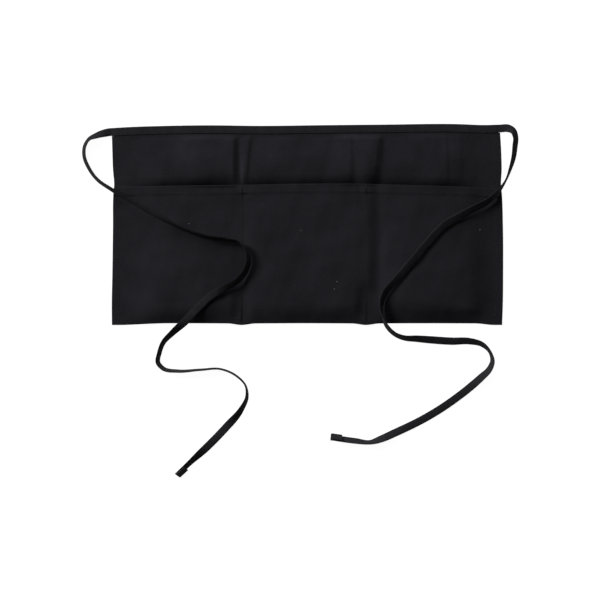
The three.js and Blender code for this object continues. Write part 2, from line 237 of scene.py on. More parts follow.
twillLook = {"dark": (0.0083, 0.0078, 0.0105, 1), "light": (0.0108, 0.0101, 0.0134, 1),
             "ribs": 420.0, "threads": 620.0, "clouds": 22.0, "crumple": 190.0,
             "ribDepth": 0.00006, "crumpleDepth": 0.00035, "specular": 0.12}
tapeLook = {"dark": (0.0134, 0.0131, 0.0152, 1), "light": (0.0177, 0.0173, 0.0200, 1),
            "ribs": 520.0, "threads": 800.0, "clouds": 60.0, "crumple": 420.0,
            "ribDepth": 0.00008, "crumpleDepth": 0.00012, "specular": 0.05}
threadLook = {"dark": (0.0100, 0.0098, 0.0112, 1), "light": (0.0160, 0.0156, 0.0175, 1),
              "ribs": 900.0, "threads": 1200.0, "clouds": 200.0, "crumple": 900.0,
              "ribDepth": 0.00004, "crumpleDepth": 0.00003, "specular": 0.3}


def wovenMaterial(name, look):
    # woven black cloth: cloudy tone, diagonal ribs and a faint crumple of the surface
    material = bpy.data.materials.new(name)
    material.use_nodes = True
    tree = material.node_tree
    shader = tree.nodes["Principled BSDF"]
    flat = addNode(tree, "ShaderNodeUVMap", uv_map="flat")
    place = addNode(tree, "ShaderNodeTexCoord")
    tone = addNode(tree, "ShaderNodeGroup", node_tree=clothTone)
    tree.links.new(place.outputs["Object"], tone.inputs["Place"])
    tone.inputs["Cloud size"].default_value = look["clouds"]
    tone.inputs["Dark"].default_value = look["dark"]
    tone.inputs["Light"].default_value = look["light"]
    ribs = addNode(tree, "ShaderNodeGroup", node_tree=wovenRibs)
    tree.links.new(flat.outputs["UV"], ribs.inputs["Place"])
    ribs.inputs["Ribs"].default_value = look["ribs"]
    ribs.inputs["Threads"].default_value = look["threads"]
    crumple = addNode(tree, "ShaderNodeTexNoise", {
        "Vector": place.outputs["Object"], "Scale": look["crumple"], "Detail": 3.0, "Roughness": 0.55})
    soft = addNode(tree, "ShaderNodeBump", {
        "Height": crumple.outputs["Fac"], "Distance": look["crumpleDepth"], "Strength": 1.0})
    fine = addNode(tree, "ShaderNodeBump", {
        "Height": ribs.outputs["Height"], "Distance": look["ribDepth"], "Strength": 0.7,
        "Normal": soft.outputs["Normal"]})
    tree.links.new(tone.outputs["Color"], shader.inputs["Base Color"])
    tree.links.new(tone.outputs["Roughness"], shader.inputs["Roughness"])
    tree.links.new(fine.outputs["Normal"], shader.inputs["Normal"])
    shader.inputs["Specular IOR Level"].default_value = look["specular"]
    return material


twill = wovenMaterial("twill", twillLook)
tape = wovenMaterial("tape", tapeLook)
thread = wovenMaterial("thread", threadLook)
print("materials made")


# The apron's outline and heights, laid out as the frame's solids are

apronSet = {"halfWidth": 0.305, "halfHeight": 0.1565, "sideHem": 0.0127, "band": 0.0123,
            "pocketDepth": 0.219, "mouthHem": 0.0105, "leftSeam": -0.102, "rightSeam": 0.092,
            "wall": 0.0008, "gap": 0.0003, "liftRamp": 0.010, "sideRamp": 0.026, "hemRamp": 0.004}

halfWidth = apronSet["halfWidth"]
bottom = -apronSet["halfHeight"]
wall = apronSet["wall"]
layer = wall + apronSet["gap"]

# How far each side edge is drawn in up the apron, as shares of the side hem
sideEdges = {"up": [0.00, 0.10, 0.25, 0.50, 0.64, 0.70, 0.77, 0.86, 1.00],
             "left": [0.04, 0.02, 0.09, 0.17, 0.20, 0.31, 0.17, 0.09, 0.00],
             "right": [0.15, 0.06, 0.02, 0.05, 0.16, 0.28, 0.20, 0.25, 0.46]}

# How far the top edge drops from a straight line, as shares of the waistband's height
topEdge = {"across": [-1.00, -0.90, -0.75, -0.52, -0.22, 0.09, 0.40, 0.78, 0.93, 1.00],
           "drop": [0.51, 0.37, 0.25, 0.16, 0.23, 0.14, 0.07, 0.00, 0.12, 0.07]}

# How far the pocket mouths drop from a straight line, as shares of the mouth hem
mouthEdge = {"across": [-1.00, -0.65, -0.33, -0.04, 0.30, 0.55, 0.81, 1.00],
             "drop": [0.42, 0.28, 0.15, 0.00, 0.00, 0.22, 0.45, 0.74]}


def edgeX(y, side):
    up = (y - bottom) / (2 * apronSet["halfHeight"])
    name = "left" if side < 0 else "right"
    drawn = throughPoints(up, sideEdges["up"], sideEdges[name])
    return side * (halfWidth - apronSet["sideHem"] * drawn)


def topY(x):
    drop = throughPoints(x / halfWidth, topEdge["across"], topEdge["drop"])
    return apronSet["halfHeight"] - apronSet["band"] * drop


def mouthY(x):
    drop = throughPoints(x / halfWidth, mouthEdge["across"], mouthEdge["drop"])
    return bottom + apronSet["pocketDepth"] - apronSet["mouthHem"] * drop


def drawnX(x, y):
    # the same share of the way between the side edges at every height
    share = (x + halfWidth) / (2 * halfWidth)
    return edgeX(y, -1) + share * (edgeX(y, 1) - edgeX(y, -1))


# Folds of the upper panel: each is a raised flat strip with a flank on either side, and a steep
# flank reads as a dark line. Each pair runs from the foot at the pocket mouth up to the waistband
foldSet = [
    {"left": (-0.1010, -0.0910), "right": (-0.1005, -0.0885),  # pleat
     "leftFlank": (0.005, 0.0150), "rightFlank": (0.009, 0.0050), "rise": (0.0015, 0.0014)},
    {"left": (-0.155, -0.165), "right": (-0.1195, -0.1160),  # shoulder
     "leftFlank": (0.06, 0.06), "rightFlank": (0.0150, 0.0110), "rise": (0.0072, 0.0024)},
    {"left": (0.090, 0.099), "right": (0.1000, 0.1120),  # broad fold
     "leftFlank": (0.07, 0.07), "rightFlank": (0.018, 0.0135), "rise": (0.0042, 0.0038)},
    {"left": (0.058, 0.060), "right": (0.0640, 0.0690),  # thin line
     "leftFlank": (0.04, 0.04), "rightFlank": (0.012, 0.0045), "rise": (0.0020, 0.0011)},
    {"left": (0.205, 0.208), "right": (0.2180, 0.2180),  # far crease
     "leftFlank": (0.03, 0.03), "rightFlank": (0.006, 0.004), "rise": (0.0010, 0.0011)},
    {"left": (0.233, 0.235), "right": (0.2400, 0.2410),  # last crease
     "leftFlank": (0.03, 0.03), "rightFlank": (0.006, 0.004), "rise": (0.0005, 0.0007)},
]

# Where the folds start below the mouth and how soon they reach their height, as shares of the way up
foldFoot = {"lowest": -0.2, "below": 0.04, "length": 0.42}


def foldRise(x, y):
    # each fold's strip changes evenly from its foot to its top, and rises from a sharp foot
    foot, head = mouthY(x), topY(x) - apronSet["band"]
    up = np.clip((y - foot) / (head - foot), foldFoot["lowest"], 1.0)
    along = creased((up + foldFoot["below"]) / foldFoot["length"])
    rise = np.zeros(np.broadcast(x, y).shape)
    for fold in foldSet:
        left, right, leftFlank, rightFlank, height = (
            fold[key][0] + up * (fold[key][1] - fold[key][0])
            for key in ("left", "right", "leftFlank", "rightFlank", "rise"))
        sides = ease((x - left) / leftFlank + 1) * ease((right - x) / rightFlank + 1)
        rise = rise + height * sides * along
    return rise


# The whole apron stands up along its two pocket seams, in both layers, about as high as the
# pockets beside them; toward the bottom edge and the waistband it sinks slowly
seamFoldSet = [
    {"seam": "leftSeam", "leftReach": (0.020, 0.070), "rightReach": (0.020, 0.050),
     "rise": 0.0056, "step": 0.0007},
    {"seam": "rightSeam", "leftReach": (0.020, 0.060), "rightReach": (0.021, 0.025),
     "rise": 0.0072, "step": 0.0006},
]

# A ridge's height along its seam, in shares of the way from the bottom edge to the mouth
ridgeSet = {"start": 0.08, "climb": 0.36, "sag": 0.34, "sagFrom": 0.4, "headFade": 0.3}

# The step down at the stitches: deeper low down and near the mouth, and gone at both ends
stepSet = {"plain": 0.2, "low": 1.4, "lowTo": 0.3, "high": 0.7, "highFrom": 0.8, "highOver": 0.15,
           "bottomFade": 0.05, "mouthFade": 0.03, "ramp": 0.012, "edge": 0.0016}


def reachShare(off, reach):
    # 0 at a line and 1 away from it: half of the way over a near reach, half over a far one
    return (ease(off / reach[0]) + ease(off / reach[1])) / 2


def seamFoldRise(x, y):
    # a ridge with its own reach on either side, and a small sharp step down at the stitches
    share = (y - bottom) / (mouthY(x) - bottom)
    sag, sagFrom = ridgeSet["sag"], ridgeSet["sagFrom"]
    along = ridgeSet["start"] + (1 - ridgeSet["start"]) * ease(share / ridgeSet["climb"])
    along = along - sag * ease((share - sagFrom) / (1 - sagFrom))
    along = along - (1 - sag) * ease((share - 1) / ridgeSet["headFade"])
    depth = stepSet["plain"] + stepSet["low"] * ease(1 - share / stepSet["lowTo"])
    depth = depth + stepSet["high"] * ease((share - stepSet["highFrom"]) / stepSet["highOver"])
    sewn = depth * ease(share / stepSet["bottomFade"]) * ease((1 - share) / stepSet["mouthFade"])
    rise = np.zeros(np.broadcast(x, y).shape)
    for fold in seamFoldSet:
        off = x - apronSet[fold["seam"]]
        beside = np.where(off < 0, reachShare(-off, fold["leftReach"]), reachShare(off, fold["rightReach"]))
        across = ease(off / stepSet["ramp"] + 1) * ease(0.5 - off / stepSet["edge"])
        rise = rise + fold["rise"] * along * (1 - beside) + fold["step"] * across * sewn
    return rise


# Slow unevenness of cloth that lies loosely: a few crossing waves of different lengths
waveSet = [
    {"alongX": 9.0, "alongY": 4.0, "phase": 0.4, "rise": 0.00035},
    {"alongX": -14.0, "alongY": 11.0, "phase": 2.1, "rise": 0.00025},
    {"alongX": 23.0, "alongY": 17.0, "phase": 4.0, "rise": 0.00014},
    {"alongX": 5.0, "alongY": -29.0, "phase": 1.2, "rise": 0.00012},
    {"alongX": -41.0, "alongY": 13.0, "phase": 5.2, "rise": 0.00007},
]


def unevenRise(x, y):
    total = np.zeros(np.broadcast(x, y).shape)
    for wave in waveSet:
        turns = wave["alongX"] * x + wave["alongY"] * y
        total = total + wave["rise"] * (1 + np.sin(2 * math.pi * turns + wave["phase"]))
    return total


# The upper panel bulges up out of the pocket mouths, swells slowly above them, and sinks again
# toward its sides and the waistband
upperSet = {"bulge": 0.0044, "bulgeUp": 0.016, "swell": 0.0018, "swellUp": 0.065, "sideReach": 0.07,
            "headReach": 0.068, "headShare": 0.12}

# Places beside the seams where the bulge is lower
calmSet = [
    {"x": -0.120, "reach": 0.055, "share": 0.6},
    {"x": 0.090, "reach": 0.050, "share": 0.4},
]


def bodyUnderZ(x, y):
    # the panel rides over the turned side hems and up into the waistband
    inward = halfWidth - np.abs(x) - apronSet["sideHem"]
    head = topY(x) - apronSet["band"]
    above = y - mouthY(x)
    side = 1 - ease((inward - layer) / apronSet["sideRamp"])
    band = ease((y - head + layer + apronSet["liftRamp"]) / apronSet["liftRamp"])
    raised = layer * (1 - (1 - side) * (1 - band))
    calm = sum(row["share"] * bell(x - row["x"], row["reach"]) for row in calmSet)
    bulge = upperSet["bulge"] * creased(above / upperSet["bulgeUp"]) * (1 - calm)
    swell = upperSet["swell"] * creased(above / upperSet["swellUp"])
    sinking = ease((head - y) / upperSet["headReach"] + upperSet["headShare"])
    loose = foldRise(x, y) + unevenRise(x, y) + (bulge + swell) * sinking
    inside = ease(inward / upperSet["sideReach"])
    return raised + (inside * loose + seamFoldRise(x, y)) * (1 - band)


def bodyTopZ(x, y):
    return bodyUnderZ(x, y) + wall


# The three pockets, each pillowed between the lines where it is sewn down
# Beside each line the pillow rises half over a near reach and half over a far one. Up from the
# bottom edge it climbs straight for the slope's length, then rounds off over the turn's length;
# the turn changes evenly from the pocket's left side to its right one. The bottom edge is drawn up
# between the lines, over a reach beside each, and the mouth keeps a share of the pillow's height
pocketSet = [
    {"left": apronSet["sideHem"] - halfWidth, "right": apronSet["leftSeam"],
     "rise": 0.0092, "mouth": 0.60, "slope": 0.009, "turn": (0.016, 0.026),
     "leftReach": (0.060, 0.090), "rightReach": (0.020, 0.070), "drawReach": (0.075, 0.022)},
    {"left": apronSet["leftSeam"], "right": apronSet["rightSeam"],
     "rise": 0.0096, "mouth": 0.60, "slope": 0.013, "turn": (0.019, 0.019),
     "leftReach": (0.020, 0.050), "rightReach": (0.020, 0.060), "drawReach": (0.022, 0.022)},
    {"left": apronSet["rightSeam"], "right": halfWidth - apronSet["sideHem"],
     "rise": 0.0124, "mouth": 0.50, "slope": 0.017, "turn": (0.030, 0.006),
     "leftReach": (0.034, 0.075), "rightReach": (0.045, 0.085), "drawReach": (0.022, 0.030)},
]

# What the pockets share: the pillow's height at the bottom edge and where it sinks to the mouth,
# how much of the draw lies beside the lines, and how far a full pocket presses its mouth hem flat
pillowSet = {"foot": 0.06, "sinkFrom": 0.05, "sinkOver": 0.9, "bottomDraw": 0.003, "drawShare": 0.75,
             "pressed": 0.6, "pressedFrom": 0.002}

# Shallow hollows in the pocket fronts
hollowSet = [
    {"x": -0.2540, "y": -0.048, "leftReach": 0.020, "rightReach": 0.034, "upReach": 0.080, "depth": 0.0014},
    {"x": -0.1180, "y": 0.006, "leftReach": 0.014, "rightReach": 0.014, "upReach": 0.030, "depth": 0.0005},
]


def bottomY(x):
    # the bottom edge is drawn up a little between the seams
    drawn = np.zeros(np.shape(x))
    for pocket in pocketSet:
        middle = (pocket["left"] + pocket["right"]) / 2
        half = (pocket["right"] - pocket["left"]) / 2
        share = np.clip(1 - np.abs(x - middle) / half, 0, 1)
        reach = np.where(x < middle, pocket["drawReach"][0], pocket["drawReach"][1])
        drawn = drawn + pillowSet["drawShare"] * ease(share * half / reach)
        drawn = drawn + (1 - pillowSet["drawShare"]) * share * (2 - share)
    return bottom + pillowSet["bottomDraw"] * drawn


def pocketRise(x, y):
    above = y - bottomY(x)
    toMouth = np.clip(above / (mouthY(x) - bottomY(x)), 0, 1)
    total = np.zeros(np.broadcast(x, y).shape)
    for pocket in pocketSet:
        across = reachShare(x - pocket["left"], pocket["leftReach"])
        across = across * reachShare(pocket["right"] - x, pocket["rightReach"])
        share = np.clip((x - pocket["left"]) / (pocket["right"] - pocket["left"]), 0, 1)
        turn = pocket["turn"][0] + share * (pocket["turn"][1] - pocket["turn"][0])
        past = np.clip(above - pocket["slope"], 0, turn)
        climbed = np.clip(above, 0, pocket["slope"]) + past - past ** 2 / (2 * turn)
        along = pillowSet["foot"] + (1 - pillowSet["foot"]) * climbed / (pocket["slope"] + turn / 2)
        sunk = 1 - (1 - pocket["mouth"]) * ease((toMouth - pillowSet["sinkFrom"]) / pillowSet["sinkOver"])
        total = total + pocket["rise"] * across * along * sunk
    for hollow in hollowSet:
        off = x - hollow["x"]
        beside = bell(off, np.where(off < 0, hollow["leftReach"], hollow["rightReach"]))
        total = total - hollow["depth"] * beside * bell(y - hollow["y"], hollow["upReach"])
    return np.maximum(total, 0)


def pocketUnderZ(x, y):
    # it lies one layer higher over its own turned mouth hem, less so where the pocket is full
    overHem = ease((y - mouthY(x) + apronSet["mouthHem"] + layer + apronSet["hemRamp"]) / apronSet["hemRamp"])
    rise = pocketRise(x, y)
    hemLift = layer * overHem * (1 - pillowSet["pressed"] * ease(rise / pillowSet["pressedFrom"]))
    return bodyTopZ(x, np.minimum(y, mouthY(x))) + apronSet["gap"] + rise + hemLift


def pocketTopZ(x, y):
    return pocketUnderZ(x, y) + wall


bandSet = {"thickness": 0.0030, "footDrop": 0.00026, "footRound": 0.0025, "endTaper": 0.006,
           "endThickness": 0.0020, "endStations": (0, 0.001, 0.002),
           "groove": 0.00018, "grooveReach": 0.0013, "sewnUp": 0.0022}


def apronTopZ(x, y):
    # top of the apron at a place, and 0 beside it
    upper = np.where(y > topY(x) - apronSet["band"], bandSet["thickness"], bodyTopZ(x, y))
    top = np.where(y < mouthY(x), pocketTopZ(x, y), upper)
    on = (x > edgeX(y, -1)) & (x < edgeX(y, 1)) & (y > bottomY(x)) & (y < topY(x))
    return np.where(on, top, 0)


# Ties: flat folded tape whose centre follows a listed route
# Each point is across and along in millimetres from the waistband's end, and the tape's roll in degrees

tieSet = {"width": 0.0123, "thickness": 0.0023, "clearance": 0.0005, "stepLength": 0.002, "settle": 0.012}

# Where a tie leaves the waistband: how far in its end lies, as a share of the side hem, and its start
rootSet = {"leftInset": 0.02, "rightInset": 0.46, "out": 0.0003, "up": 0.0015, "straight": 4,
           "start": 0.003, "riseFrom": 0.004, "riseOver": 0.025}

# Tape that stands on its edge leans over by this angle, and less where it is nearly upright
leanSet = {"angle": 0.26, "sharpness": 3}

leftTieRoute = [
    [-11, -2, 25], [-23, -6, 52], [-34, -11, 71], [-41, -22, 73], [-42, -38, 74], [-35, -56, 76],
    [-22, -74, 79], [-1, -89, 78], [27, -105, 70], [58, -123, 66], [89, -140, 76], [120, -154, 80],
    [151, -164, 77], [182, -169, 75], [201, -173, 85], [211, -185, 101], [214, -201, 113],
    [209, -217, 116], [196, -232, 124], [175, -244, 142], [156, -255, 162], [135, -274, 180],
    [114, -296, 152], [95, -313, 122], [81, -328, 108], [75, -344, 104], [73, -359, 104],
    [81, -368, 102], [104, -372, 98], [138, -370, 94], [171, -369, 92], [194, -379, 92],
    [209, -395, 92], [211, -412, 99], [202, -432, 118], [179, -459, 164], [150, -489, 158],
    [123, -514, 118], [104, -532, 112],
]
rightTieRoute = [
    [13, 0, -20], [20, -4, -42], [24, -14, -56], [23, -28, -58], [21, -44, -64], [16, -62, -76],
    [9, -80, -84], [-3, -98, -74], [-19, -113, -58], [-42, -125, -45], [-64, -137, -38],
    [-85, -149, -34], [-103, -166, -32], [-122, -188, -32], [-143, -213, -34], [-164, -237, -38],
    [-179, -255, -50], [-185, -272, -68], [-184, -289, -86], [-176, -308, -102], [-162, -321, -107],
    [-148, -326, -116], [-131, -327, -130], [-106, -329, -146], [-75, -331, -146], [-47, -331, -130],
    [-28, -336, -110], [-16, -348, -96], [-12, -362, -102], [-17, -375, -115], [-29, -387, -134],
    [-53, -408, -160], [-87, -433, -176], [-124, -455, -172], [-162, -473, -152], [-185, -483, -130],
    [-201, -488, -104], [-225, -486, -114], [-261, -481, -114],
]


def tieLine(side, route):
    # smooth line through the route, lifted so that the rolled tape just clears what lies under it
    inset = apronSet["sideHem"] * rootSet["leftInset" if side < 0 else "rightInset"]
    rootY = topY(side * halfWidth) - apronSet["band"] / 2
    plan = np.array([[-side * rootSet["straight"], 0, 0], [0, 0, 0]] + route, float)
    plan[:, :2] = [side * (halfWidth - inset + rootSet["out"]), rootY] + plan[:, :2] / 1000
    chord = np.insert(np.cumsum(np.linalg.norm(np.diff(plan[:, :2], axis=0), axis=1)), 0, 0)
    at = np.linspace(rootSet["start"], chord[-1], int(chord[-1] / tieSet["stepLength"]) + 1)
    line = throughPoints(at, chord, plan)
    roll = np.radians(line[:, 2])
    roll = roll - leanSet["angle"] * np.tanh(leanSet["sharpness"] * np.sin(2 * roll))
    heading = unit(np.gradient(line[:, :2], axis=0))
    sideways = np.stack([-heading[:, 1], heading[:, 0]], -1)
    halfUp = (tieSet["width"] * np.abs(np.sin(roll)) + tieSet["thickness"] * np.abs(np.cos(roll))) / 2
    seenWidth = tieSet["width"] * np.abs(np.cos(roll)) + tieSet["thickness"]
    ground = np.zeros(len(at))
    for share in (-0.5, -0.25, 0, 0.25, 0.5):
        spot = line[:, :2] + share * seenWidth[:, None] * sideways
        ground = np.maximum(ground, apronTopZ(spot[:, 0], spot[:, 1]))
    centre = np.where(ground > 0, ground + tieSet["clearance"], 0) + halfUp
    risen = ease((at - rootSet["riseFrom"]) / rootSet["riseOver"])
    centre = rootSet["up"] + (settled(centre) - rootSet["up"]) * risen
    return np.column_stack([line[:, :2], centre]), roll


def settled(heights):
    # the highest of the heights nearby, smoothed: stiff tape bridges the hollows under it
    reach = int(tieSet["settle"] / tieSet["stepLength"])
    padded = np.pad(heights, 2 * reach, mode="edge")
    highest = np.max([padded[i:i + len(heights) + 2 * reach] for i in range(2 * reach + 1)], axis=0)
    weights = np.hanning(2 * reach + 3)[1:-1]
    return np.convolve(highest, weights / weights.sum(), mode="valid")


def tapeAxes(line, roll):
    heading = unit(np.gradient(line, axis=0))
    level = unit(np.stack([-heading[:, 1], heading[:, 0], np.zeros(len(line))], -1))
    upward = unit(np.cross(heading, level))
    across = level * np.cos(roll)[:, None] + upward * np.sin(roll)[:, None]
    return heading, across, np.cross(heading, across)


# The tape's section: its open edge's notch, how far its faces thin toward the edges, the round
# folded edge, and the groove where the two leaves are sewn
tapeSet = {"lip": 0.0008, "edge": 0.0001, "faceStart": 0.0005, "notch": (0.08, 0.25, 0.50),
           "thinning": 0.5, "fold": 0.0009, "foldShare": 0.56,
           "sewnIn": 0.0022, "groove": 0.0002, "grooveReach": 0.0012}


def tapeSection():
    # two leaves folded together, whose lower half mirrors the upper one
    half, thick = tieSet["width"] / 2, tieSet["thickness"] / 2
    notchIn = half - np.array([tapeSet["lip"], tapeSet["edge"], tapeSet["edge"]])
    notch = np.stack([notchIn, thick * np.array(tapeSet["notch"])], -1)
    across = np.linspace(half - tapeSet["faceStart"], tapeSet["fold"] - half, 15)
    groove = tapeSet["groove"] * bell(across - half + tapeSet["sewnIn"], tapeSet["grooveReach"])
    face = np.stack([across, thick * (1 - tapeSet["thinning"] * (across / half) ** 4) - groove], -1)
    turn = np.radians([65, 40, 15])
    folded = np.stack([tapeSet["fold"] * (1 - np.cos(turn)) - half,
                       tapeSet["foldShare"] * thick * np.sin(turn)], -1)
    upper = np.concatenate([notch, face, folded])
    return np.concatenate([upper, upper[::-1] * [1, -1]])


def makeTie(name, line, roll):
    # the section is carried along the line and turned by the roll
    heading, across, face = tapeAxes(line, roll)
    section = tapeSection()
    grid = line[:, None] + section[None, :, :1] * across[:, None] + section[None, :, 1:] * face[:, None]
    return stripMesh(name, grid, tape)


# A tie's folded-back end: its leaf's thickness as a share of the tape's, its gap above the tape, how
# far past the tape's end it turns, and how much its two sides draw in
endSet = {"fold": 0.015, "leafShare": 0.9, "gap": 0.0003, "out": 0.0004, "pinch": 0.02}


def makeTieEnd(name, line, roll):
    # the last stretch is turned back over its upper face and sewn down
    heading, across, face = (axis[-1] for axis in tapeAxes(line, roll))
    face = face if face[2] > 0 else -face
    rise = tieSet["thickness"] + endSet["gap"]
    middle, radius = np.array([endSet["out"]]), np.array([rise / 2])
    back = np.linspace(-endSet["fold"], endSet["out"], 14)
    turnOut, turnUp = halfTurn(middle, radius, radius, 1)
    out = np.concatenate([back, turnOut[0, 1:]])
    up = np.concatenate([np.full(len(back), rise), turnUp[0, 1:]])
    profile = thickened(out, up, tieSet["thickness"] * endSet["leafShare"])
    width = np.linspace(-0.5, 0.5, 13)
    inset = 1 - endSet["pinch"] * np.abs(2 * width) ** 6
    spread = tieSet["width"] * width[:, None, None] * across
    raised = inset[:, None, None] * profile[None, :, 1:] * face
    grid = line[-1] + profile[None, :, :1] * heading + raised + spread
    return stripMesh(name, grid, tape)


print("ties")
leftLine, leftRoll = tieLine(-1, leftTieRoute)
rightLine, rightRoll = tieLine(1, rightTieRoute)
tieLeft = makeTie("tieLeft", leftLine, leftRoll)
tieRight = makeTie("tieRight", rightLine, rightRoll)
tieEndLeft = makeTieEnd("tieEndLeft", leftLine, leftRoll)
tieEndRight = makeTieEnd("tieEndRight", rightLine, rightRoll)


# Cloth pieces, each a wall of even thickness about its middle surface

# Spacing across the cloth, where it is finer, how far in the panels end at the side hems and under
# the waistband, and the shares of the pocket front at either end that have more rows
clothSet = {"coarse": 0.0024, "fine": 0.0009, "closest": 0.0003, "seamSpan": 0.030, "sideSpanIn": 0.010,
            "hemInset": 0.0029, "leafGap": 0.00006, "belowMouth": 0.012, "intoBand": 0.0032, "dense": 0.14}


def stationsAcross():
    # places across the apron, closer together beside the seams and the side hems
    end = halfWidth - clothSet["hemInset"] - clothSet["leafGap"]
    parts = [np.linspace(-end, end, int(2 * end / clothSet["coarse"]))]
    sideSpan = end - clothSet["sideSpanIn"]
    for middle in (apronSet["leftSeam"], apronSet["rightSeam"], -sideSpan, sideSpan):
        low = max(middle - clothSet["seamSpan"] / 2, -end)
        high = min(middle + clothSet["seamSpan"] / 2, end)
        parts.append(np.linspace(low, high, int((high - low) / clothSet["fine"])))
    places = np.sort(np.concatenate(parts))
    return places[np.insert(np.diff(places) > clothSet["closest"], 0, True)]


def between(low, high, shares):
    return low[:, None] + shares * (high - low)[:, None]


def foldStartY(x):
    # the bottom fold is a half circle that just reaches the bottom edge
    edge = bottomY(x)
    return edge + (pocketTopZ(x, edge) - bodyUnderZ(x, edge)) / 2


def across3d(x, profile):
    # sections of y and z, set out across the apron between its side edges
    y = profile[..., 0]
    return np.stack([drawnX(x[:, None], y), y, profile[..., 1]], -1)


def makeBodyPanel():
    # up the back from the bottom fold, then more closely up the part that shows, into the waistband
    x = stationsAcross()
    foot = foldStartY(x) + apronSet["gap"]
    belowMouth = mouthY(x) - clothSet["belowMouth"]
    hidden = between(foot, belowMouth, np.linspace(0, 1, 26)[:-1])
    shown = between(belowMouth, topY(x) - clothSet["intoBand"], np.linspace(0, 1, 66))
    y = np.concatenate([hidden, shown], 1)
    z = bodyUnderZ(x[:, None], y)
    profile = np.concatenate([np.stack([y, z + wall], -1), np.stack([y, z], -1)[:, ::-1]], 1)
    return stripMesh("bodyPanel", across3d(x, profile), twill)


def makePocketPanel():
    # one cloth: the turned mouth hem inside, over the mouth, down the front and round the bottom fold
    x = stationsAcross()
    wide = x[:, None]
    mouth, radius = mouthY(x), layer / 2
    leafY = between(mouth - apronSet["mouthHem"], mouth - radius, np.linspace(0, 1, 7)[:-1])
    leafZ = pocketTopZ(wide, leafY) - layer - wall / 2
    frontTop = pocketTopZ(x, mouth - radius) - wall / 2
    turnY, turnZ = halfTurn(mouth - radius, frontTop - radius, np.full(len(x), radius), 1)
    start = foldStartY(x)
    dense = clothSet["dense"]
    shares = np.concatenate([np.linspace(0, dense, 30)[1:-1], np.linspace(dense, 1 - dense, 62)[:-1],
                             np.linspace(1 - dense, 1, 26)[:-1]])
    frontY = between(mouth - radius, start, shares)
    frontZ = pocketTopZ(wide, frontY) - wall / 2
    top, under = pocketTopZ(x, start) - wall / 2, bodyUnderZ(x, start) + wall / 2
    foldY, foldZ = halfTurn(start, (top + under) / 2, (top - under) / 2, -1, 14)
    y = np.concatenate([leafY, turnY[:, ::-1], frontY, foldY], 1)
    z = np.concatenate([leafZ, turnZ[:, ::-1], frontZ, foldZ], 1)
    return stripMesh("pocketPanel", across3d(x, thickened(y, z, wall)), twill)


# A side hem's rows: how far round the bottom fold they start, how many follow it, how near the
# mouth's corner they come, and the least radius of the turned edge
hemSet = {"foldStart": 0.12, "foldRows": 8, "mouthStep": 0.0004, "leastRadius": 0.00005}


def makeSideHem(name, side):
    # the stacked layers' edge, turned round to the back; its section shrinks round the bottom fold
    station = np.array([side * (halfWidth - clothSet["hemInset"])])
    mouth, start = mouthY(station)[0], foldStartY(station)[0]
    edge, head = bottomY(station)[0], topY(station)[0] - apronSet["band"] - apronSet["gap"]
    turned = np.linspace(hemSet["foldStart"], math.pi / 2, hemSet["foldRows"])
    fold = edge + (start - edge) * (1 - np.cos(turned))
    y = np.concatenate([fold, np.linspace(start, mouth - hemSet["mouthStep"], 120)[1:],
                        np.linspace(mouth + hemSet["mouthStep"], head, 56)])
    high = np.where(y < mouth, pocketTopZ(station, y), bodyTopZ(station, y))
    middle = high[hemSet["foldRows"]] / 2
    shrunk = middle * np.sqrt(np.clip(1 - ((start - y) / (start - edge)) ** 2, 0, 1))
    high = np.where(y < start, middle + shrunk, high)
    low = np.where(y < start, middle - shrunk, 0)
    radius = np.maximum((high - low - wall) / 2, hemSet["leastRadius"])
    outer = edgeX(y, side)
    turnX, turnZ = halfTurn(outer - side * (radius + wall / 2), (high + low) / 2, radius, side, 12)
    inner = outer - side * clothSet["hemInset"]
    leafEnd = outer - side * apronSet["sideHem"]
    over = between(inner, turnX[:, 0], np.array([0, 0.5]))
    under = between(turnX[:, -1], leafEnd, np.array([0.34, 0.67, 1]))
    x = np.concatenate([over, turnX, under], 1)
    z = np.concatenate([np.repeat(turnZ[:, :1], 2, 1), turnZ, np.repeat(turnZ[:, -1:], 3, 1)], 1)
    profile = thickened(x, z, wall)
    grid = np.stack([profile[..., 0], np.broadcast_to(y[:, None], profile.shape[:2]), profile[..., 1]], -1)
    return stripMesh(name, grid, twill)


def makeWaistband():
    # tape folded over the panel's top edge: front leaf, fold and back leaf, flatter at its two ends
    ends = halfWidth - np.array(bandSet["endStations"])
    x = np.sort(np.concatenate([-ends, stationsAcross(), ends]))
    thick = bandSet["endThickness"] + (bandSet["thickness"] - bandSet["endThickness"]) * ease(
        (halfWidth - np.abs(x)) / bandSet["endTaper"])
    middle = bandSet["thickness"] / 2 * np.ones(len(x))
    radius = (thick - wall) / 2
    head = topY(x) - thick / 2
    foot = topY(x) - apronSet["band"]
    turnY, turnZ = halfTurn(head, middle, radius, 1)
    leafY = between(foot, head, np.linspace(0, 1, 16)[:-1])
    sewn = bandSet["groove"] * bell(leafY - foot[:, None] - bandSet["sewnUp"], bandSet["grooveReach"])
    sewn = sewn + bandSet["footDrop"] * ease(1 - (leafY - foot[:, None]) / bandSet["footRound"])
    frontZ = (middle + radius)[:, None] - sewn
    y = np.concatenate([leafY, turnY, leafY[:, ::-1]], 1)
    z = np.concatenate([frontZ, turnZ, (middle - radius)[:, None] + 0 * leafY], 1)
    profile = thickened(y, z, wall)
    endX = drawnX(x, topY(x))[:, None]
    grid = np.stack([np.broadcast_to(endX, profile.shape[:2]), profile[..., 0], profile[..., 1]], -1)
    return stripMesh("waistbandTape", grid, tape)


print("cloth")
bodyPanel = makeBodyPanel()
pocketPanel = makePocketPanel()
sideHemLeft = makeSideHem("sideHemLeft", -1)
sideHemRight = makeSideHem("sideHemRight", 1)
waistband = makeWaistband()


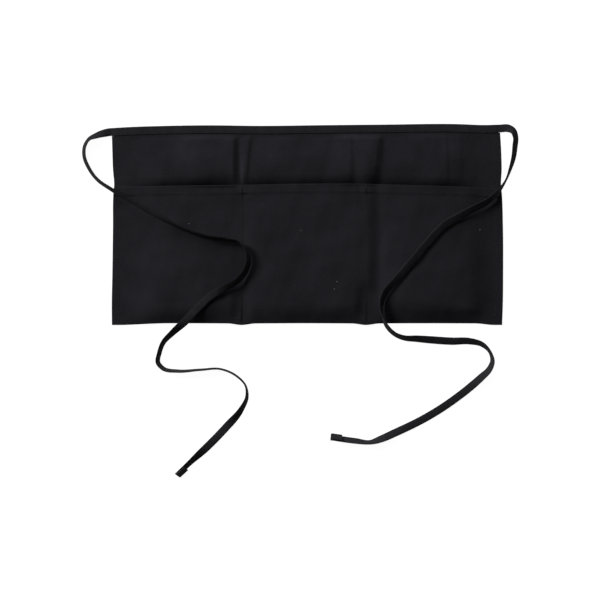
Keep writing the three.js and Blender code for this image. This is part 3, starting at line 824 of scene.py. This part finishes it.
# Sewing: each stitch is a short rounded bar of thread that dips into the cloth at its ends

stitchSet = {"pitch": 0.0026, "share": 0.78, "radius": 0.00022, "proud": 0.00004}

# How far the rows keep from the sides, the bottom edge, the mouth and the waistband, and how far in
# they lie from the edges of the turned hems
rowSet = {"fromSides": 0.004, "fromBottom": 0.006, "fromMouth": 0.0015, "aboveMouth": 0.002,
          "fromBand": 0.0017, "leafIn": 0.0018, "hemIn": 0.0002, "bandEnds": 0.003}

# Bar tacks: where they start and end below the mouth, and half their width
tackSet = {"from": 0.0012, "to": 0.0085, "half": 0.0006, "pitch": 0.0011, "lean": 1.2}


def stitchRow(line, normals, pitch=stitchSet["pitch"], radius=stitchSet["radius"], lean=0.0):
    # stitches set out at even spacing along a line, leaning across it by a share of their length
    length = np.insert(np.cumsum(np.linalg.norm(np.diff(line, axis=0), axis=1)), 0, 0)
    centres = np.arange(pitch / 2, length[-1], pitch)
    place = np.stack([np.interp(centres, length, line[:, i]) for i in range(3)], -1)
    upward = unit(np.stack([np.interp(centres, length, normals[:, i]) for i in range(3)], -1))
    heading = np.stack([np.interp(centres, length, np.gradient(line[:, i], length)) for i in range(3)], -1)
    heading = unit(heading - np.einsum("ij,ij->i", heading, upward)[:, None] * upward)
    level = np.cross(upward, heading)
    heading = unit(heading + lean * level)
    level = np.cross(upward, heading)
    along = np.array([-0.5, -0.42, -0.2, 0.2, 0.42, 0.5])
    swell = np.array([0.45, 0.85, 1.0, 1.0, 0.85, 0.45])
    sink = np.array([-1.5, -0.7, 0.1, 0.1, -0.7, -1.5])
    turn = np.linspace(0, 2 * math.pi, 7)[:-1]
    bar = stitchSet["share"] * pitch * along
    offset = (bar[:, None, None] * heading[:, None, None]
              + radius * (swell[:, None] * np.cos(turn))[..., None] * level[:, None, None]
              + (radius * (swell[:, None] * np.sin(turn) + sink[:, None]) + stitchSet["proud"])[..., None]
              * upward[:, None, None])
    return place[:, None, None] + offset


def stitchMesh(name, rows, material=thread):
    # all the stitches of a piece in one mesh, each a closed six-sided bar
    grid = np.concatenate(rows)
    count, sections, ring = grid.shape[:3]
    top = (sections - 1) * ring
    caps = np.array([[3, 2, 1, 0], [5, 4, 3, 0],
                     [top, top + 1, top + 2, top + 3], [top, top + 3, top + 4, top + 5]])
    places = grid.reshape(-1, 3)
    one = facingOut(np.concatenate([ringFaces(sections, ring), caps]), places[:sections * ring])
    faces = (np.arange(count)[:, None, None] * sections * ring + one).reshape(-1, 4)
    flatPlaces = np.stack([places[faces][..., 0] + places[faces][..., 1], places[faces][..., 2]], -1)
    return finishMesh(name, places, faces, flatPlaces, material, 80)


def surfaceRow(x, y, height, **how):
    # a row of stitches along a line on one of the apron's surfaces, with that surface's normals
    step = 0.0002
    z = height(x, y)
    slopeX = (height(x + step, y) - height(x - step, y)) / (2 * step)
    slopeY = (height(x, y + step) - height(x, y - step)) / (2 * step)
    return stitchRow(np.stack([x, y, z], -1), unit(np.stack([-slopeX, -slopeY, np.ones(len(x))], -1)), **how)


def barTack(x, mouth):
    # three close rows of slanted stitches side by side, just below a pocket's mouth
    y = mouth - np.linspace(tackSet["from"], tackSet["to"], 40)
    return [surfaceRow(x(y) + shift, y, pocketTopZ, pitch=tackSet["pitch"], lean=tackSet["lean"])
            for shift in (-tackSet["half"], 0, tackSet["half"])]


def makeStitches():
    across = np.linspace(rowSet["fromSides"] - halfWidth, halfWidth - rowSet["fromSides"], 700)
    mouthLine = mouthY(across) - apronSet["mouthHem"] + rowSet["hemIn"]
    mouthRow = surfaceRow(drawnX(across, mouthLine), mouthLine, pocketTopZ)
    low = bottom + rowSet["fromBottom"]
    seamRows, tacks = [], []
    for seam in (apronSet["leftSeam"], apronSet["rightSeam"]):
        mouth = mouthY(seam)
        up = np.linspace(low, mouth - rowSet["fromMouth"], 300)
        seamRows.append(surfaceRow(seam + 0 * up, up, pocketTopZ))
        tacks += barTack(lambda y: seam + 0 * y, mouth)
    for side in (-1, 1):
        def rowX(y):
            return edgeX(y, side) - side * (apronSet["sideHem"] - rowSet["leafIn"])
        mouth, head = mouthY(side * halfWidth), topY(side * halfWidth)
        up = np.linspace(low, mouth - rowSet["fromMouth"], 300)
        seamRows.append(surfaceRow(rowX(up), up, pocketTopZ))
        up = np.linspace(mouth + rowSet["aboveMouth"], head - apronSet["band"] - rowSet["fromBand"], 120)
        seamRows.append(surfaceRow(rowX(up), up, bodyTopZ))
        tacks += barTack(rowX, mouth)
    return (stitchMesh("mouthStitches", [mouthRow]), stitchMesh("seamStitches", seamRows),
            stitchMesh("barTacks", tacks))


def makeBandStitches():
    x = np.linspace(rowSet["bandEnds"] - halfWidth, halfWidth - rowSet["bandEnds"], 700)
    y = topY(x) - apronSet["band"] + bandSet["sewnUp"]
    z = np.full(len(x), bandSet["thickness"] - bandSet["groove"])
    line = np.stack([drawnX(x, topY(x)), y, z], -1)
    return stitchMesh("bandStitches", [stitchRow(line, np.tile([0, 0, 1.0], (len(x), 1)))])


def makeTieStitches(name, line, roll):
    # one row on each face, beside the open edge
    heading, across, face = tapeAxes(line, roll)
    rows = []
    for up in (-1, 1):
        middle = line + (tieSet["width"] / 2 - tapeSet["sewnIn"]) * across
        middle = middle + up * (tieSet["thickness"] / 2 - tapeSet["groove"]) * face
        rows.append(stitchRow(middle[2:-10], up * face[2:-10]))
    return stitchMesh(name, rows)


print("sewing")
mouthStitches, seamStitches, barTacks = makeStitches()
bandStitches = makeBandStitches()
tieStitchesLeft = makeTieStitches("tieStitchesLeft", leftLine, leftRoll)
tieStitchesRight = makeTieStitches("tieStitchesRight", rightLine, rightRoll)


# Table top and light

plainSet = {"clouds": 3.0, "darkShare": 0.985}


def plainMaterial(name, colour, roughness, glow=0.0):
    # one nearly even tone, which may glow white
    material = bpy.data.materials.new(name)
    material.use_nodes = True
    shader = material.node_tree.nodes["Principled BSDF"]
    place = addNode(material.node_tree, "ShaderNodeTexCoord")
    tone = addNode(material.node_tree, "ShaderNodeGroup", node_tree=clothTone)
    material.node_tree.links.new(place.outputs["Object"], tone.inputs["Place"])
    tone.inputs["Cloud size"].default_value = plainSet["clouds"]
    tone.inputs["Dark"].default_value = [plainSet["darkShare"] * part for part in colour] + [1]
    tone.inputs["Light"].default_value = list(colour) + [1]
    material.node_tree.links.new(tone.outputs["Color"], shader.inputs["Base Color"])
    shader.inputs["Roughness"].default_value = roughness
    shader.inputs["Emission Color"].default_value = (1, 1, 1, 1)
    shader.inputs["Emission Strength"].default_value = glow
    return material


# A few specks of pale lint that lie on the pockets
lintSet = [
    {"x": -0.1838, "y": 0.0010, "turn": 10},
    {"x": -0.0102, "y": -0.0096, "turn": 100},
    {"x": 0.0455, "y": -0.0892, "turn": 40},
    {"x": 0.0414, "y": -0.1005, "turn": 86},
    {"x": 0.2680, "y": -0.0085, "turn": 60},
]


speckSet = {"length": 0.0018, "radius": 0.00042, "colour": (0.26, 0.26, 0.25), "roughness": 0.9}


def makeLint():
    rows = []
    for speck in lintSet:
        turn = math.radians(speck["turn"])
        along = speckSet["length"] * np.array([-0.5, 0, 0.5])
        rows.append(surfaceRow(speck["x"] + along * math.cos(turn), speck["y"] + along * math.sin(turn),
                               pocketTopZ, pitch=speckSet["length"], radius=speckSet["radius"]))
    return stitchMesh("lint", rows, plainMaterial("paleLint", speckSet["colour"], speckSet["roughness"]))


lint = makeLint()


floorSet = {"half": 4.0, "below": 0.0002, "colour": (0.12, 0.12, 0.12), "roughness": 0.9, "glow": 0.97}

print("floor and light")
half = floorSet["half"]
floorPlaces = np.array([[-half, -half], [half, -half], [half, half], [-half, half]])
floor = finishMesh("tableTop", np.column_stack([floorPlaces, np.full(4, -floorSet["below"])]),
                   np.array([[0, 1, 2, 3]]), floorPlaces[None],
                   plainMaterial("paleTable", floorSet["colour"], floorSet["roughness"], floorSet["glow"]))

lightSet = [
    {"name": "side box", "from": (-6.2, 3.6, 3.5), "size": 2.0, "power": 760},
    {"name": "top box", "from": (-1.1, 6.3, 3.15), "size": 4.4, "power": 298},
]
skyStrength = 0.095

for light in lightSet:
    lamp = bpy.data.lights.new(light["name"], "AREA")
    lamp.shape = "SQUARE"
    lamp.size = light["size"]
    lamp.energy = light["power"]
    holder = bpy.data.objects.new(light["name"], lamp)
    holder.location = light["from"]
    away = -np.array(light["from"])
    holder.rotation_euler = (math.atan2(math.hypot(away[0], away[1]), -away[2]), 0,
                             math.atan2(-away[0], away[1]))
    scene.collection.objects.link(holder)

world = bpy.data.worlds.new("studio")
world.use_nodes = True
world.node_tree.nodes["Background"].inputs["Color"].default_value = (1, 1, 1, 1)
world.node_tree.nodes["Background"].inputs["Strength"].default_value = skyStrength
scene.world = world


# Each piece, a cloth label that nothing reads, and the frame's parts it stands for: every piece rides on the
# root body and those parts are hidden

pieces = [
    (bodyPanel, "twill", ["body_panel"]),
    (pocketPanel, "twill", ["pocket_panel", "pocket_hem"]),
    (sideHemLeft, "twill", ["side_hem_left"]),
    (sideHemRight, "twill", ["side_hem_right"]),
    (waistband, "tape", ["waistband"]),
    (tieLeft, "tape", ["tie_left"]),
    (tieRight, "tape", ["tie_right"]),
    (tieEndLeft, "tape", ["tie_end_left"]),
    (tieEndRight, "tape", ["tie_end_right"]),
    (mouthStitches, "tape", []),
    (seamStitches, "tape", []),
    (barTacks, "tape", []),
    (bandStitches, "tape", []),
    (tieStitchesLeft, "tape", []),
    (tieStitchesRight, "tape", []),
    (lint, "twill", []),
]
for piece, slot, nodes in pieces:
    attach(piece, "root")
    if nodes:
        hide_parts(*nodes)

print("done")
